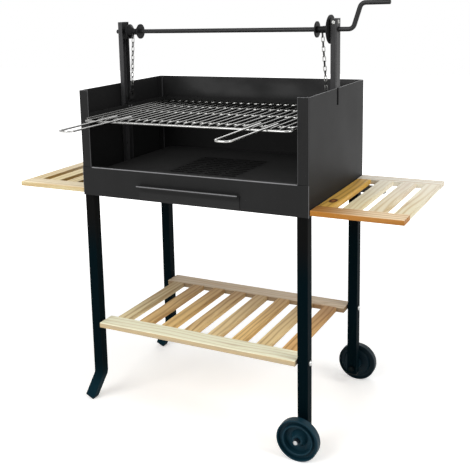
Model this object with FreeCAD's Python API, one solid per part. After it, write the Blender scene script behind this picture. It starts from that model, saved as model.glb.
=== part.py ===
import FreeCAD
import Part
import math
import os

# charcoal barbecue: millimetres, +Z up, front at -Y, X from the middle of the firebox

# firebox
box_width = 600.0
box_depth = 400.0
box_bottom = 565.0
box_height = 265.0
sheet = 1.5
bend = 1.5
skirt = 5.0
flange = 26.0
front_height = 73.0
front_return = 14.0
rim = 12.0
back_flange = 18.0
slot_width = 12.0
slot_y = 193.0
slot_depth = 40.0

# charcoal plate
plate_height = 55.0
plate_side = 28.5
plate_gap = 6.0
grate_width = 180.0
grate_front = 75.0
grate_depth = 190.0
grate_rows = 10
grate_columns = 4
grate_slot = 7.0
grate_bridge = 9.0

# ash drawer
drawer_width = 257.0
drawer_depth = 300.0
drawer_height = 27.0
drawer_sheet = 1.2
drawer_play = 0.3
drawer_front_width = 268.0
drawer_front_height = 37.0
pull_depth = 13.0
runner_height = 14.0
runner_play = 1.0

# legs, wheels
tube = 25.0
tube_wall = 1.5
tube_bend = 22.0
leg_inset = 3.0
leg_front = 1.5
foot_bend_z = 80.0
foot_angle = 25.0
short_leg_z = 32.5
cap_thick = 2.0
cap_depth = 9.0
plug_length = 24.0
bolt_length = 22.0
fit = 0.1
wheel_radius = 50.0
wheel_face = 38.0
wheel_back = 18.0
rim_wall = 3.6
ring_radius = 36.5
ring_width = 3.5
ring_face = 35.5
web_face = 27.0
dish_face = 20.0
web = 4.0
hub_foot = 20.0
hub_nose = 12.0
axle_radius = 4.0
axle_play = 0.05
hub_front = 34.0
hub_back = 2.0
side_play = 0.3
nut_length = 15.5
nut_corner = 7.5
nut_height = 7.0
dome_radius = 6.2
head_height = 5.3
washer_radius = 9.0

# cross bars
bar_depth = 20.0
bar_height = 15.0
bar_wall = 1.5
bar_tuck = 18.0
bar_front = 60.0
bar_bolt_x = 200.0
screw_depth = 8.6

# side shelves
shelf_gap = 2.0
shelf_outer = 506.0
shelf_thick = 12.4
shelf_rail = 50.0
shelf_front = 2.0
shelf_slats = 4
slat_to_gap = 1.5
tongue = 8.0
tongue_thick = 5.0
tongue_inset = 6.0
edge_round = 1.6

# lower shelf
lower_top = 227.0
lower_thick = 13.0
lower_rail = 56.0
lower_overhang = 7.5
spacer = 4.0
slat_count = 8
slat_width = 34.0
slat_margin = 20.0
shelf_bolt_radius = 3.0
shelf_bolt_grip = 42.0

# uprights
post_web = 2.0
post_depth = 33.0
post_width = 13.5
post_front = 184.0
post_top = 990.0
block_height = 42.0
block_drop = 2.0
block_proud_left = 1.0
block_proud_right = -3.1

# crank
shaft_radius = 5.5
shaft_play = 0.05
shaft_y = 200.5
shaft_z = 965.0
shaft_end = 11.0
crank_reach = 32.7
crank_throw = 59.0
crank_lean = 17.7
handle_reach = 118.0
crank_bend = 14.5
tip_round = 2.2

# reels and chains
reel_radius = 19.0
reel_thick = 3.0
reel_span = 33.0
reel_inset_left = 30.5
reel_inset_right = 21.5
hub_radius = 7.5
hub_end_radius = 9.5
neck_radius = 6.8
neck_half = 2.5
cone_radius = 17.0
brake_radius = 33.5
chain_pin = 1.1
chain_y = 190.0
chain_z = 958.0
chain_links = 14
chain_wire = 2.3
chain_width = 8.7
link_play = 0.4

# carrier
angle = 2.0
arm_play = 2.0
arm_leg = 25.0
arm_height = 18.5
arm_front = 5.0
arm_back = 391.0
carrier_top = 755.5
shoe_reach = 11.5
shoe_play = 1.0
lug_width = 20.0
lug_inset = 11.0
lug_top = 803.5
lug_hole_z = 797.0
lug_hole_radius = 3.5

# cooking grill
frame_radius = 3.0
frame_inset = 15.0
frame_front = -28.0
frame_back = 385.0
frame_corner = 14.0
wire_radius = 2.0
wire_count = 26
cross_radius = 2.5
cross_ys = (28.0, 172.0, 280.0)
handle_radius = 2.25
handle_bars = (2.5, 4.45)
handle_taper = 3.0
handle_tip = -208.0
handle_corner = 14.0
handle_tail = 8.0
rest_play = 0.05

V = FreeCAD.Vector
axes = {"x": V(1, 0, 0), "y": V(0, 1, 0), "z": V(0, 0, 1)}

# sizes that follow from the ones above
half = box_width / 2
inner = half - sheet
top = box_bottom + box_height
floor_z = box_bottom + skirt
floor_top = floor_z + sheet
plate_width = 2 * (inner - plate_side)
leg_outer = half - leg_inset
leg_inner = leg_outer - tube
leg_mid = leg_outer - tube / 2
leg_ys = (leg_front, box_depth - leg_front - tube)
axle_z = wheel_radius
post_back = post_front + post_depth
post_mouth = inner - post_width
post_mid = (post_front + post_back) / 2
bar_ys = (bar_front, box_depth - bar_front - bar_depth)
shelf_in = half + shelf_gap
slat_space = (shelf_outer - shelf_in) / (shelf_slats * slat_to_gap + shelf_slats - 1)
slat_board = slat_space * slat_to_gap
slat_starts = [shelf_in + i * (slat_board + slat_space) for i in range(shelf_slats)]
bar_reach = slat_starts[1] + bar_tuck
screw_xs = (shelf_in + slat_board / 2, slat_starts[1] + bar_tuck / 2)
lower_end = leg_inner - spacer
slat_pitch = (2 * (lower_end - slat_margin) - slat_width) / (slat_count - 1)
shaft_left = -half - shaft_end
crank_bend_x = half + crank_reach
crank_end = half + handle_reach
reel_left = -(post_mouth - reel_inset_left)
reel_right = post_mouth - reel_inset_right
arm_outer = post_mouth - arm_play
lug_x = arm_outer - lug_inset
frame_half = arm_outer - frame_inset
wire_pitch = 2 * frame_half / (wire_count - 1)
drawer_z = floor_top + drawer_play
front_y = handle_tip - handle_radius
back_y = box_depth + hub_front + side_play + nut_length
middle_y = (front_y + back_y) / 2

os.makedirs("parts", exist_ok=True)


def box(x0, x1, y0, y1, z0, z1):
    return Part.makeBox(x1 - x0, y1 - y0, z1 - z0, V(x0, y0, z0))


def rod(radius, start, end):
    # plain round bar between two points on one axis
    line = V(*end) - V(*start)
    return Part.makeCylinder(radius, line.Length, V(*start), line)


def ring(axis, outer, hole, x, y, z, length):
    way = axes[axis]
    body = Part.makeCylinder(outer, length, V(x, y, z), way)
    return body.cut(Part.makeCylinder(hole, length + 2, V(x, y, z) - way, way))


def fuse(shapes):
    body = shapes[0]
    if len(shapes) > 1:
        body = body.multiFuse(shapes[1:])
    return body.removeSplitter()


def cut(body, tools):
    return body.cut(Part.makeCompound(tools)) if tools else body


def group(shapes):
    return Part.makeCompound(shapes)


def flip(shape):
    # the same piece on the other side of the firebox
    return shape.mirror(V(0, 0, 0), V(1, 0, 0))


def flip_y(shape):
    return shape.mirror(V(0, box_depth / 2, 0), V(0, 1, 0))


def corners(path, side):
    # the path moved sideways, left of its direction being plus
    moved = []
    ways = []
    for a, b in zip(path, path[1:]):
        length = math.hypot(b[0] - a[0], b[1] - a[1])
        ways.append(((b[0] - a[0]) / length, (b[1] - a[1]) / length))
    for i, p in enumerate(path):
        before = ways[max(i - 1, 0)]
        after = ways[min(i, len(ways) - 1)]
        n1 = (-before[1], before[0])
        n2 = (-after[1], after[0])
        scale = side / (1 + n1[0] * n2[0] + n1[1] * n2[1])
        moved.append((p[0] + (n1[0] + n2[0]) * scale, p[1] + (n1[1] + n2[1]) * scale))
    return moved, ways


def side_edges(path, side, inner_radius, thick, at):
    # edges of one side of a folded sheet, with its bends
    points, ways = corners(path, side)
    edges = []
    start = points[0]
    for i in range(1, len(points) - 1):
        w1 = ways[i - 1]
        w2 = ways[i]
        cross = w1[0] * w2[1] - w1[1] * w2[0]
        turn = math.asin(max(-1.0, min(1.0, cross)))
        if w1[0] * w2[0] + w1[1] * w2[1] < -0.001:
            turn = math.copysign(math.pi - abs(turn), cross)
        inside = max(0.0, thick) if turn > 0 else min(0.0, thick)
        radius = inner_radius + abs(inside - side)
        reach = radius * math.tan(abs(turn) / 2)
        p = points[i]
        a = (p[0] - w1[0] * reach, p[1] - w1[1] * reach)
        b = (p[0] + w2[0] * reach, p[1] + w2[1] * reach)
        hand = math.copysign(1.0, turn)
        centre = (a[0] - w1[1] * radius * hand, a[1] + w1[0] * radius * hand)
        way = (p[0] - centre[0], p[1] - centre[1])
        far = math.hypot(way[0], way[1])
        m = (centre[0] + way[0] / far * radius, centre[1] + way[1] / far * radius)
        edges.append(Part.LineSegment(at(*start), at(*a)).toShape())
        edges.append(Part.Arc(at(*a), at(*m), at(*b)).toShape())
        start = b
    edges.append(Part.LineSegment(at(*start), at(*points[-1])).toShape())
    return edges, points[0], points[-1]


def fold(path, thick, radius, axis, lo, hi):
    # sheet folded along a path, thick to the left of it, drawn out along one axis
    def at(u, v):
        return {"x": V(lo, u, v), "y": V(u, lo, v), "z": V(u, v, lo)}[axis]
    one, a0, a1 = side_edges(path, 0.0, radius, thick, at)
    two, b0, b1 = side_edges(path, thick, radius, thick, at)
    ends = [Part.LineSegment(at(*a1), at(*b1)).toShape(), Part.LineSegment(at(*b0), at(*a0)).toShape()]
    wire = Part.Wire(one + [ends[0]] + two[::-1] + [ends[1]])
    return Part.Face(wire).extrude(axes[axis] * (hi - lo))


def bent(points, radius, bend_radius, closed=False):
    # round wire bent along a path in space
    pts = [V(*p) for p in points]
    edges = []
    if closed:
        start = (pts[-1] + pts[0]) * 0.5
        pts = [start] + pts + [start]
    here = pts[0]
    for i in range(1, len(pts) - 1):
        w1 = (pts[i] - pts[i - 1]).normalize()
        w2 = (pts[i + 1] - pts[i]).normalize()
        turn = math.acos(max(-1.0, min(1.0, w1.dot(w2))))
        reach = bend_radius * math.tan(turn / 2)
        a = pts[i] - w1 * reach
        b = pts[i] + w2 * reach
        way = (w2 - w1).normalize()
        centre = pts[i] + way * (bend_radius / math.cos(turn / 2))
        m = centre - way * bend_radius
        edges.append(Part.LineSegment(here, a).toShape())
        edges.append(Part.Arc(a, m, b).toShape())
        here = b
    edges.append(Part.LineSegment(here, pts[-1]).toShape())
    path = Part.Wire(edges)
    way = (pts[1] - pts[0]).normalize()
    profile = Part.Wire(Part.Circle(pts[0], way, radius).toShape())
    return path.makePipeShell([profile], True, False)


def prism_ring(centre, along, across, length, width, wire_size):
    # chain link: six-sided wire round a long ring
    normal = along.cross(across)
    r = width / 2
    straight = length / 2 - r * math.sin(math.radians(72))
    outline = []
    for sign, first in ((1, 0), (-1, 180)):
        for step in range(6):
            a = math.radians(first + step * 36)
            outline.append((sign * straight + r * math.sin(a), r * math.cos(a)))
    loops = []
    count = len(outline)
    for i, (u, v) in enumerate(outline):
        pu, pv = outline[i - 1]
        nu, nv = outline[(i + 1) % count]
        a = V(u - pu, v - pv, 0).normalize()
        b = V(nu - u, nv - v, 0).normalize()
        side = V(a.y + b.y, -a.x - b.x, 0).normalize()
        stretch = 1 / side.dot(V(a.y, -a.x, 0))
        loop = []
        for k in range(6):
            t = math.radians(30 + 60 * k)
            off = wire_size / 2 * math.cos(t) * stretch
            lift = wire_size / 2 * math.sin(t)
            loop.append(centre + along * (u + side.x * off) + across * (v + side.y * off) + normal * lift)
        loops.append(loop)
    faces = []
    for i in range(count):
        a = loops[i]
        b = loops[(i + 1) % count]
        for k in range(6):
            q = [a[k], a[(k + 1) % 6], b[(k + 1) % 6], b[k]]
            faces.append(Part.Face(Part.makePolygon(q + [q[0]])))
    body = Part.makeSolid(Part.makeShell(faces))
    if body.Volume < 0:
        body.reverse()
    return body


def turned(profile, x, y, z, axis):
    # solid of revolution from points of (radius, position along the axis)
    way = axes[axis]
    out = V(0, 0, 1) if axis != "z" else V(1, 0, 0)
    pts = [V(x, y, z) + way * p + out * r for r, p in profile]
    face = Part.Face(Part.makePolygon(pts + [pts[0]]))
    return face.revolve(V(x, y, z), way, 360)


def spun(profile, x, y, z, axis, sides=12):
    # small fastener: the same as turned, with flat sides; its profile starts and ends on the axis
    way = axes[axis]
    out = V(0, 0, 1) if axis != "z" else V(1, 0, 0)
    across = way.cross(out)
    loops = []
    for r, p in profile[1:-1]:
        loop = []
        for k in range(sides):
            t = 2 * math.pi * k / sides
            loop.append(V(x, y, z) + way * p + out * (r * math.cos(t)) + across * (r * math.sin(t)))
        loops.append(loop)
    faces = [Part.Face(Part.makePolygon(loop + [loop[0]])) for loop in (loops[0], loops[-1])]
    for a, b in zip(loops, loops[1:]):
        for k in range(sides):
            m = (k + 1) % sides
            faces.append(Part.Face(Part.makePolygon([a[k], a[m], b[m], b[k], a[k]])))
    body = Part.makeSolid(Part.makeShell(faces))
    if body.Volume < 0:
        body.reverse()
    return body


def drill(radius, x, y, z, length, axis="z"):
    # hole for a spun fastener, of the same flat-sided outline
    return spun([(0, 0), (radius, 0), (radius, length), (0, length)], x, y, z, axis)


def rounded_box(x0, x1, y0, y1, z0, z1, along, radius):
    # board with its long edges broken
    body = box(x0, x1, y0, y1, z0, z1)
    way = axes[along]
    edges = []
    for e in body.Edges:
        line = e.Vertexes[1].Point - e.Vertexes[0].Point
        if abs(abs(line.normalize().dot(way)) - 1) < 1e-6:
            edges.append(e)
    return body.makeFillet(radius, edges)


nodes = {}

# firebox walls
flange_path = [(half - flange, 0), (half, 0), (half, box_depth - sheet)]
upper = fold(flange_path, sheet, bend, "z", box_bottom + front_height, top)
lower = box(inner, half, sheet, box_depth - sheet, box_bottom, box_bottom + front_height)
wall = fuse([upper, lower])
spit_slot = box(inner - 9, half + 1, slot_y - slot_width / 2, slot_y + slot_width / 2,
                top - slot_depth, top + 1)
rivet_zs = (600.0, 665.0, 730.0)
rivet_holes = []
for z in rivet_zs:
    rivet_holes.append(drill(2.5, inner - 4, post_mid, z, 7, "x"))
bar_notches = []
for y in bar_ys:
    bar_notches.append(box(inner - 1, half + 1, y, y + bar_depth, box_bottom - 1, floor_z))
wall = cut(wall, [spit_slot] + rivet_holes + bar_notches)
nodes["side_wall_right"] = wall
nodes["side_wall_left"] = flip(wall)

back_y0 = box_depth - sheet
back_front = back_y0 - back_flange
back_path = [(-inner, back_front), (-inner, box_depth), (inner, box_depth), (inner, back_front)]
back = fold(back_path, -sheet, bend, "z", floor_top, top)
strip = box(-half, half, back_y0, box_depth, box_bottom, floor_top)
nodes["back_wall"] = fuse([back, strip])

open_half = drawer_width / 2 + runner_play
front_top = box_bottom + front_height
front_path = [(0, box_bottom), (0, front_top), (front_return, front_top)]
front = fold(front_path, -sheet, bend, "x", -half, half)
front = front.cut(box(-half - 1, -inner, sheet, front_return + 1, box_bottom, front_top + 1))
front = front.cut(box(inner, half + 1, sheet, front_return + 1, box_bottom, front_top + 1))
mouth = box(-open_half, open_half, -1, sheet + 1, floor_top, drawer_z + drawer_height + 1.5)
nodes["front_panel"] = front.cut(mouth)

# floor plate with upturned rims
rim_top = floor_top + rim
floor = box(-inner, inner, sheet, back_y0, floor_z, floor_top)
rims = []
rim_gap = 1.0
for sign in (-1, 1):
    a, b = sorted((sign * inner, sign * (inner - sheet)))
    rims.append(box(a, b, leg_front + 3, post_front - rim_gap, floor_z, rim_top))
    rims.append(box(a, b, post_back + rim_gap, back_front - rim_gap, floor_z, rim_top))
    a, b = sorted((sign * (open_half + 16), sign * (inner - sheet - 1)))
    rims.append(box(a, b, sheet, 2 * sheet, floor_z, rim_top))
rims.append(box(-inner + 4, inner - 4, back_y0 - 2 * sheet, back_y0 - sheet, floor_z, rim_top))
floor = fuse([floor] + rims)
bolt_spots = [(s * leg_mid, y + tube / 2) for s in (-1, 1) for y in leg_ys]
bar_bolts = [(s * bar_bolt_x, y + bar_depth / 2) for s in (-1, 1) for y in bar_ys]
floor_holes = []
for x, y in bolt_spots + bar_bolts:
    floor_holes.append(drill(3.0, x, y, floor_z - 1, sheet + 2))
nodes["floor_plate"] = cut(floor, floor_holes)

# charcoal plate, standing on its own folded sides
plate_z = floor_top + plate_height
plate_path = [(-plate_width / 2, floor_top), (-plate_width / 2, plate_z)]
plate_path += [(plate_width / 2, plate_z), (plate_width / 2, floor_top)]
plate = fold(plate_path, -sheet, bend, "y", plate_gap, back_y0 - plate_gap)
slots = []
slot_length = (grate_width - (grate_columns - 1) * grate_bridge) / grate_columns
row_pitch = (grate_depth - grate_slot) / (grate_rows - 1)
for i in range(grate_rows):
    y = grate_front + i * row_pitch
    for j in range(grate_columns):
        x = -grate_width / 2 + j * (slot_length + grate_bridge)
        slots.append(box(x, x + slot_length, y, y + grate_slot, plate_z - 5, plate_z + 5))
nodes["charcoal_plate"] = cut(plate, slots)

# ash drawer
dh = drawer_width / 2
dt = drawer_sheet
tray = box(-dh, dh, 0, drawer_depth, drawer_z, drawer_z + drawer_height)
tray = tray.cut(box(-dh + dt, dh - dt, dt, drawer_depth - dt, drawer_z + dt, drawer_z + drawer_height + 1))
nodes["drawer_tray"] = tray
fh = drawer_front_width / 2
front_z = drawer_z + drawer_height + 3.5 - drawer_front_height
front_face = -drawer_play
lip_z = front_z + drawer_front_height
pull = [(front_face - dt, front_z), (front_face - dt, lip_z), (front_face - dt - pull_depth, lip_z)]
pull += [(front_face - dt - pull_depth, lip_z - 5)]
pull_plate = fold(pull[::-1], dt, 1.2, "x", -fh, fh)
link = box(-dh + 12, dh - 12, front_face, 0, drawer_z + 3, drawer_z + drawer_height - 3)
nodes["drawer_front"] = fuse([pull_plate, link])

runner_x = dh + runner_play
runner = fold([(runner_x, floor_top + runner_height), (runner_x, floor_top), (runner_x + 13, floor_top)],
              sheet, bend, "y", 8, drawer_depth + 6)
nodes["drawer_runners"] = group([runner, flip(runner)])

# legs: the left ones bent out at the foot, the right ones cut short for the wheels
lean = math.radians(foot_angle)
foot_length = (foot_bend_z - tube / 2 * math.sin(lean)) / math.cos(lean)
way = (-math.sin(lean), -math.cos(lean))
knee = (-leg_mid, foot_bend_z)


def foot_path(shift, length):
    # path of one side of the bent leg, from the top down
    end = (knee[0] + way[0] * length, knee[1] + way[1] * length)
    return corners([(-leg_mid, floor_z), knee, end], shift)[0]


bolt_y0 = leg_ys[0] + tube / 2
for name, y in (("front", leg_ys[0]), ("rear", leg_ys[1])):
    mid = y + tube / 2
    outer = fold(foot_path(-tube / 2, foot_length - cap_thick), tube, tube_bend, "y", y, y + tube)
    hollow = fold(foot_path(-tube / 2 + tube_wall, foot_length + 5), tube - 2 * tube_wall,
                  tube_bend + tube_wall, "y", y + tube_wall, y + tube - tube_wall)
    hole = rod(shelf_bolt_radius, (-leg_outer - 1, mid, lower_top - lower_thick / 2),
               (-leg_inner + 1, mid, lower_top - lower_thick / 2))
    nodes["leg_%s_left" % name] = outer.cut(hollow).cut(hole)
    leg = box(leg_inner, leg_outer, y, y + tube, short_leg_z + cap_thick, floor_z)
    leg = leg.cut(box(leg_inner + tube_wall, leg_outer - tube_wall, y + tube_wall, y + tube - tube_wall,
                      short_leg_z, floor_z + 1))
    axle_hole = rod(axle_radius, (leg_mid, y - 1, axle_z), (leg_mid, y + tube + 1, axle_z))
    nodes["leg_%s_right" % name] = leg.cut(flip(hole)).cut(axle_hole)

# caps in the tube ends
bore = tube - 2 * tube_wall - 2 * fit
caps = []
for y in leg_ys:
    mid = y + tube / 2
    end = V(knee[0] + way[0] * foot_length, mid, knee[1] + way[1] * foot_length)
    up = V(-way[0], 0, -way[1])
    cap = Part.makeBox(tube, tube, cap_thick, V(-tube / 2, -tube / 2, 0))
    cap = cap.fuse(Part.makeBox(bore, bore, cap_depth, V(-bore / 2, -bore / 2, 0)))
    left = cap.copy()
    left.Placement = FreeCAD.Placement(end, FreeCAD.Rotation(V(0, 0, 1), up))
    right = cap.copy()
    right.Placement = FreeCAD.Placement(V(leg_mid, mid, short_leg_z), FreeCAD.Rotation())
    caps += [left.removeSplitter(), right.removeSplitter()]
nodes["leg_caps"] = group(caps)

# plugs and bolts that hold the legs under the floor plate
floor_bolt = [(0, 3.4), (4.2, 3.4), (6, 1.8), (6, 0), (3, 0), (3, -sheet - bolt_length),
              (0, -sheet - bolt_length)]
plugs = []
floor_bolts = []
for x, y in bolt_spots:
    plug = box(x - bore / 2, x + bore / 2, y - bore / 2, y + bore / 2, floor_z - plug_length, floor_z)
    plugs.append(plug.cut(drill(3.0, x, y, floor_z - plug_length - 1, plug_length + 2)))
    floor_bolts.append(spun(floor_bolt, x, y, floor_top, "z"))
nodes["leg_plugs"] = group(plugs)

# cross bars under the floor
bar_z = floor_z - bar_height
spots = [s * x for s in (-1, 1) for x in screw_xs]
for name, y in zip(("front", "rear"), bar_ys):
    bar = box(-bar_reach, bar_reach, y, y + bar_depth, bar_z, floor_z)
    bar = bar.cut(box(-bar_reach - 1, bar_reach + 1, y + bar_wall, y + bar_depth - bar_wall,
                      bar_z + bar_wall, floor_z - bar_wall))
    holes = []
    for x in spots:
        holes.append(drill(2.0, x, y + bar_depth / 2, bar_z - 1, bar_height + 2))
    for s in (-1, 1):
        holes.append(drill(3.0, s * bar_bolt_x, y + bar_depth / 2, bar_z - 1, bar_height + 2))
    nodes["cross_bar_" + name] = cut(bar, holes)
ends = []
for y in bar_ys:
    plug = box(bar_reach, bar_reach + 2, y, y + bar_depth, bar_z, floor_z)
    grip = bar_wall + fit
    plug = plug.fuse(box(bar_reach - 2.3, bar_reach, y + grip, y + bar_depth - grip,
                         bar_z + grip, floor_z - grip)).removeSplitter()
    ends += [plug, flip(plug)]
nodes["bar_caps"] = group(ends)
nuts = []
for x, y in bar_bolts:
    floor_bolts.append(spun(floor_bolt, x, y, floor_top, "z"))
    nut = Part.Face(Part.makePolygon([V(x + 5.8 * math.cos(math.radians(60 * k)),
                                        y + 5.8 * math.sin(math.radians(60 * k)), bar_z - 5)
                                      for k in range(7)])).extrude(V(0, 0, 5))
    nuts.append(nut.cut(drill(3.0, x, y, bar_z - 6, 7)))
nodes["floor_bolts"] = group(floor_bolts)
nodes["bar_nuts"] = group(nuts)

# side shelves
shelf_top = floor_z + shelf_thick
rail_ys = ((shelf_front, shelf_rail), (box_depth - shelf_rail, box_depth))
tongue_z = floor_z + (shelf_thick - tongue_thick) / 2
wood_screw = [(0, -2.6), (2.6, -2.6), (4.2, -0.8), (4.2, 0), (2, 0), (2, bar_height + screw_depth),
              (0, bar_height + screw_depth)]
slats = []
pockets = []
screws = []
for i, x0 in enumerate(slat_starts):
    x1 = x0 + slat_board
    slat = rounded_box(x0, x1, shelf_rail, box_depth - shelf_rail, floor_z, shelf_top, "y", edge_round)
    ends = []
    for y0 in (shelf_rail - tongue, box_depth - shelf_rail):
        ends.append(box(x0 + tongue_inset, x1 - tongue_inset, y0, y0 + tongue,
                        tongue_z, tongue_z + tongue_thick))
        pockets.append(box(x0 + tongue_inset, x1 - tongue_inset, y0 - 0.2, y0 + tongue + 0.2,
                           tongue_z, tongue_z + tongue_thick))
    slat = fuse([slat] + ends)
    for x in screw_xs[i:i + 1]:
        for y in bar_ys:
            mid = y + bar_depth / 2
            screw = spun(wood_screw, x, mid, bar_z, "z")
            slat = slat.cut(drill(2.0, x, mid, floor_z - 1, screw_depth + 1.4))
            screws += [screw, flip(screw)]
    slats.append(slat)
nodes["shelf_slats_right"] = group(slats)
nodes["shelf_slats_left"] = group([flip(s) for s in slats])
nodes["shelf_screws"] = group(screws)
for name, (y0, y1) in zip(("front", "rear"), rail_ys):
    rail = rounded_box(shelf_in, shelf_outer, y0, y1, floor_z, shelf_top, "x", edge_round)
    rail = cut(rail, pockets)
    nodes["shelf_rail_%s_right" % name] = rail
    nodes["shelf_rail_%s_left" % name] = flip(rail)

# lower shelf
lower_bottom = lower_top - lower_thick
lower_z = (lower_top + lower_bottom) / 2
low_ys = ((leg_front - lower_overhang, leg_front - lower_overhang + lower_rail),
          (box_depth - leg_front + lower_overhang - lower_rail, box_depth - leg_front + lower_overhang))
low_in = (low_ys[0][1], low_ys[1][0])
tongue_z = lower_bottom + (lower_thick - tongue_thick) / 2
slats = []
pockets = []
for i in range(slat_count):
    x = (i - (slat_count - 1) / 2) * slat_pitch
    x0 = x - slat_width / 2
    x1 = x + slat_width / 2
    parts = [rounded_box(x0, x1, low_in[0], low_in[1], lower_bottom, lower_top, "y", edge_round)]
    for y0 in (low_in[0] - tongue, low_in[1]):
        parts.append(box(x0 + tongue_inset, x1 - tongue_inset, y0, y0 + tongue,
                         tongue_z, tongue_z + tongue_thick))
        pockets.append(box(x0 + tongue_inset, x1 - tongue_inset, y0 - 0.2, y0 + tongue + 0.2,
                           tongue_z, tongue_z + tongue_thick))
    slats.append(fuse(parts))
nodes["lower_slats"] = group(slats)
rail_holes = []
rail_bolts = []
spacers = []
for x, y in bolt_spots:
    s = math.copysign(1, x)
    rail_holes.append(rod(shelf_bolt_radius, (s * (lower_end - shelf_bolt_grip - 1), y, lower_z),
                          (s * (lower_end + 1), y, lower_z)))
    bolt = fuse([turned([(0, 4.2), (4.4, 4.2), (6.2, 2.0), (6.2, 0), (0, 0)], leg_outer, y, lower_z, "x"),
                 rod(shelf_bolt_radius, (lower_end - shelf_bolt_grip, y, lower_z), (leg_outer, y, lower_z))])
    pad = ring("x", 6.4, shelf_bolt_radius, lower_end, y, lower_z, spacer)
    rail_bolts.append(bolt if s > 0 else flip(bolt))
    spacers.append(pad if s > 0 else flip(pad))
for name, (y0, y1) in zip(("front", "rear"), low_ys):
    rail = rounded_box(-lower_end, lower_end, y0, y1, lower_bottom, lower_top, "x", edge_round)
    nodes["lower_rail_" + name] = cut(rail, pockets + rail_holes)
nodes["rail_bolts"] = group(rail_bolts)
nodes["rail_spacers"] = group(spacers)

# wheels on the short legs
rim_in = wheel_radius - rim_wall
ring_in = ring_radius - ring_width
bore_radius = axle_radius + axle_play
shape = [(wheel_radius, -wheel_face + 1.4), (wheel_radius - 1.3, -wheel_face), (rim_in + 0.8, -wheel_face),
         (rim_in, -wheel_face + 1.5), (rim_in - 0.6, -web_face), (ring_radius + 0.8, -web_face + 0.5),
         (ring_radius, -ring_face + 1), (ring_radius - 1, -ring_face), (ring_in + 1, -ring_face),
         (ring_in, -ring_face + 1), (ring_in - 0.8, -dish_face), (hub_foot, -dish_face + 0.5),
         (hub_nose + 1.5, -hub_front + 2.5), (hub_nose, -hub_front), (bore_radius, -hub_front)]
shape += [(bore_radius, -hub_back), (hub_nose, -hub_back), (hub_nose + 2.5, -dish_face + web),
          (ring_in, -dish_face + web), (ring_radius, -web_face + web), (rim_in - 1, -web_face + web),
          (rim_in, -wheel_back), (wheel_radius - 1, -wheel_back), (wheel_radius, -wheel_back - 1.2)]
wheel = turned(shape, leg_mid, 0, axle_z, "y")
nodes["wheel_front"] = wheel
nodes["wheel_rear"] = flip_y(wheel)
back_of_leg = leg_ys[0] + tube
axle = rod(axle_radius, (leg_mid, -hub_front - side_play - nut_height, axle_z),
           (leg_mid, back_of_leg, axle_z))
hexagon = []
for k in range(7):
    a = math.radians(60 * k + 30)
    hexagon.append(V(leg_mid + nut_corner * math.cos(a), back_of_leg, axle_z + nut_corner * math.sin(a)))
axle = fuse([axle, Part.Face(Part.makePolygon(hexagon)).extrude(V(0, head_height, 0))])
nodes["axle_bolts"] = group([axle, flip_y(axle)])
nut_y = -hub_front - side_play
hexagon = [V(p.x, nut_y - nut_height, p.z) for p in hexagon]
dome = turned([(0, -nut_length), (dome_radius - 3.2, -nut_length + 0.7), (dome_radius - 1, -nut_length + 3),
               (dome_radius, -nut_height), (0, -nut_height)], leg_mid, nut_y, axle_z, "y")
nut = fuse([Part.Face(Part.makePolygon(hexagon)).extrude(V(0, nut_height, 0)), dome])
nut = nut.cut(rod(axle_radius, (leg_mid, nut_y - nut_height, axle_z), (leg_mid, nut_y + 1, axle_z)))
nodes["axle_nuts"] = group([nut, flip_y(nut)])
washer = ring("y", washer_radius, axle_radius, leg_mid, -hub_back + side_play, axle_z,
              hub_back - side_play + leg_front)
nodes["axle_washers"] = group([washer, flip_y(washer)])

# uprights, open inward
post_path = [(post_mouth, post_front), (inner, post_front), (inner, post_back), (post_mouth, post_back)]
post = fold(post_path, post_web, bend, "z", floor_top, post_top)
shaft_hole = rod(shaft_radius + 1, (post_mouth - 9, shaft_y, shaft_z), (half + 2, shaft_y, shaft_z))
block_top = post_top - block_drop
block_bottom = block_top - block_height
low_slot = box(inner - 9, half + 1, slot_y - slot_width / 2, slot_y + slot_width / 2, top - slot_depth, top)
post = cut(post, rivet_holes + [low_slot, shaft_hole])
front_screw = (post_mouth + 5.8, 981.0)
side_screw = (shaft_y - 1.5, 982.0)
screw_holes = [rod(3.0, (front_screw[0], post_front - 1, front_screw[1]),
                   (front_screw[0], post_front + 11, front_screw[1])),
               rod(3.0, (inner - 11, side_screw[0], side_screw[1]),
                   (inner + 1, side_screw[0], side_screw[1]))]
left_holes = []
for y in (post_front + 8, post_back - 8):
    left_holes.append(drill(2.5, inner - 10.5, y, side_screw[1], 11.5, "x"))
nodes["post_right"] = cut(post, screw_holes)
nodes["post_left"] = flip(cut(post, left_holes))
rivets = []
for z in rivet_zs:
    rivet = spun([(0, -1.2), (4.2, -1.2), (4.2, 0), (2.5, 0), (2.5, post_web + sheet), (0, post_web + sheet)],
                 inner - post_web, post_mid, z, "x")
    rivets += [rivet, flip(rivet)]
nodes["post_rivets"] = group(rivets)

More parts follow.
